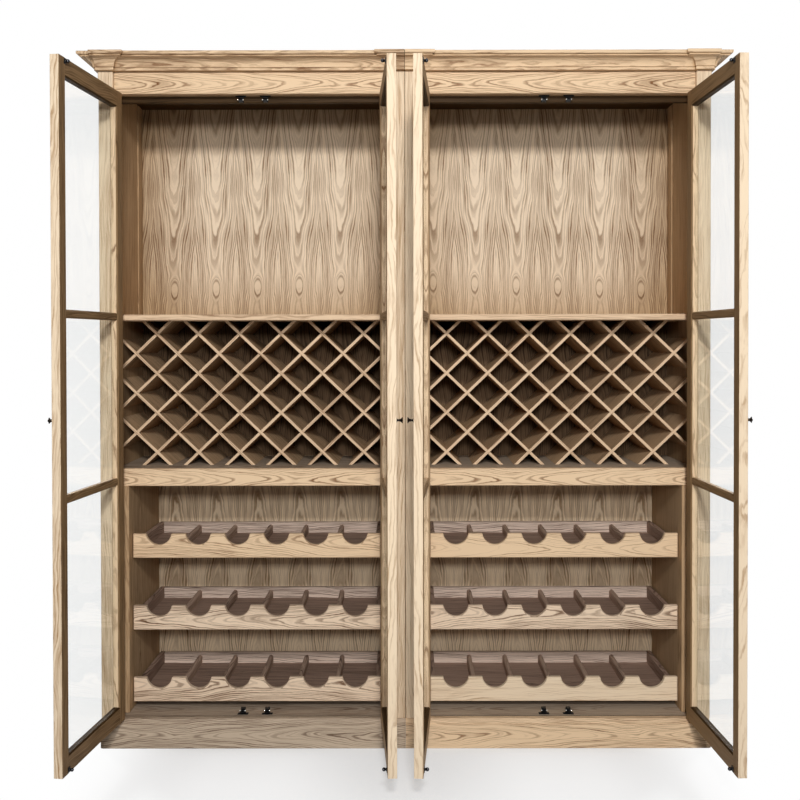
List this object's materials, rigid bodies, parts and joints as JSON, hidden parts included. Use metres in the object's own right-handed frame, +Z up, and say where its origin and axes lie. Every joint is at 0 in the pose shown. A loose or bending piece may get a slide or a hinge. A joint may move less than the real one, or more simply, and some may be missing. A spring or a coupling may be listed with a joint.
{
  "type": "wine cabinet",
  "caption": "Free-standing oak wine cabinet with glazed hinged doors, display compartments, diagonal bottle racks and pull-out scalloped bottle trays under a moulded cornice.",
  "frame": {"origin": "on the floor under the middle of the cabinet as it stands with its doors open", "axes": "+Z up, -Y out of the front, +X to the right of someone facing the front"},
  "size_m": [1.98, 0.8724, 2.128],
  "materials": {
    "pale_oak": "limed, matt",
    "deep_oak": "limed, matt",
    "rack_oak": "limed, matt",
    "grey_oak": "matt",
    "clear_glass": "clear",
    "dark_metal": "satin"
  },
  "bodies": {
    "case": {"left_inner_side": "pale_oak", "left_outer_side": "pale_oak", "left_base": "pale_oak", "left_cornice": "pale_oak", "left_header": "pale_oak", "left_top_board": "deep_oak", "left_back_panel": "deep_oak", "left_display_shelf": "rack_oak", "left_rack_floor": "pale_oak", "left_rack_boards_1": "rack_oak", "left_rack_boards_2": "rack_oak", "left_rack_boards_3": "rack_oak", "left_rack_boards_4": "rack_oak", "left_rack_boards_5": "rack_oak", "left_rack_boards_6": "rack_oak", "left_rack_boards_7": "rack_oak", "left_inner_runner_panel": "deep_oak", "left_outer_runner_panel": "deep_oak", "right_inner_side": "pale_oak", "right_outer_side": "pale_oak", "right_base": "pale_oak", "right_cornice": "pale_oak", "right_header": "pale_oak", "right_top_board": "deep_oak", "right_back_panel": "deep_oak", "right_display_shelf": "rack_oak", "right_rack_floor": "pale_oak", "right_rack_boards_1": "rack_oak", "right_rack_boards_2": "rack_oak", "right_rack_boards_3": "rack_oak", "right_rack_boards_4": "rack_oak", "right_rack_boards_5": "rack_oak", "right_rack_boards_6": "rack_oak", "right_rack_boards_7": "rack_oak", "right_inner_runner_panel": "deep_oak", "right_outer_runner_panel": "deep_oak"},
    "left_tray_1": {"left_tray_1_front": "pale_oak", "left_tray_1_box": "grey_oak"},
    "left_tray_2": {"left_tray_2_front": "pale_oak", "left_tray_2_box": "grey_oak"},
    "left_tray_3": {"left_tray_3_front": "pale_oak", "left_tray_3_box": "grey_oak"},
    "left_inner_door": {"left_inner_door_frame": "pale_oak", "left_inner_door_glass": "clear_glass", "left_inner_door_knob": "dark_metal"},
    "left_outer_door": {"left_outer_door_frame": "pale_oak", "left_outer_door_glass": "clear_glass", "left_outer_door_knob": "dark_metal"},
    "right_tray_1": {"right_tray_1_front": "pale_oak", "right_tray_1_box": "grey_oak"},
    "right_tray_2": {"right_tray_2_front": "pale_oak", "right_tray_2_box": "grey_oak"},
    "right_tray_3": {"right_tray_3_front": "pale_oak", "right_tray_3_box": "grey_oak"},
    "right_inner_door": {"right_inner_door_frame": "pale_oak", "right_inner_door_glass": "clear_glass", "right_inner_door_knob": "dark_metal"},
    "right_outer_door": {"right_outer_door_frame": "pale_oak", "right_outer_door_glass": "clear_glass", "right_outer_door_knob": "dark_metal"}
  },
  "joints": [
    {"name": "left_tray_1_slide", "type": "slide", "parent": "case", "child": "left_tray_1", "axis": [0, -1, 0], "range_m": [0, 0.28]},
    {"name": "left_tray_2_slide", "type": "slide", "parent": "case", "child": "left_tray_2", "axis": [0, -1, 0], "range_m": [0, 0.28]},
    {"name": "left_tray_3_slide", "type": "slide", "parent": "case", "child": "left_tray_3", "axis": [0, -1, 0], "range_m": [0, 0.28]},
    {"name": "left_inner_door_hinge", "type": "hinge", "parent": "case", "child": "left_inner_door", "pos_m": [-0.04675, -0.01284, 1.05], "axis": [0, 0, 1], "range_deg": [-94, 0.3]},
    {"name": "left_outer_door_hinge", "type": "hinge", "parent": "case", "child": "left_outer_door", "pos_m": [-0.89325, -0.01284, 1.05], "axis": [0, 0, -1], "range_deg": [-96.3, 73.7]},
    {"name": "right_tray_1_slide", "type": "slide", "parent": "case", "child": "right_tray_1", "axis": [0, -1, 0], "range_m": [0, 0.28]},
    {"name": "right_tray_2_slide", "type": "slide", "parent": "case", "child": "right_tray_2", "axis": [0, -1, 0], "range_m": [0, 0.28]},
    {"name": "right_tray_3_slide", "type": "slide", "parent": "case", "child": "right_tray_3", "axis": [0, -1, 0], "range_m": [0, 0.28]},
    {"name": "right_inner_door_hinge", "type": "hinge", "parent": "case", "child": "right_inner_door", "pos_m": [0.04675, -0.01284, 1.05], "axis": [0, 0, -1], "range_deg": [-94, 0.3]},
    {"name": "right_outer_door_hinge", "type": "hinge", "parent": "case", "child": "right_outer_door", "pos_m": [0.89325, -0.01284, 1.05], "axis": [0, 0, 1], "range_deg": [-92.4, 77.6]}
  ]
}
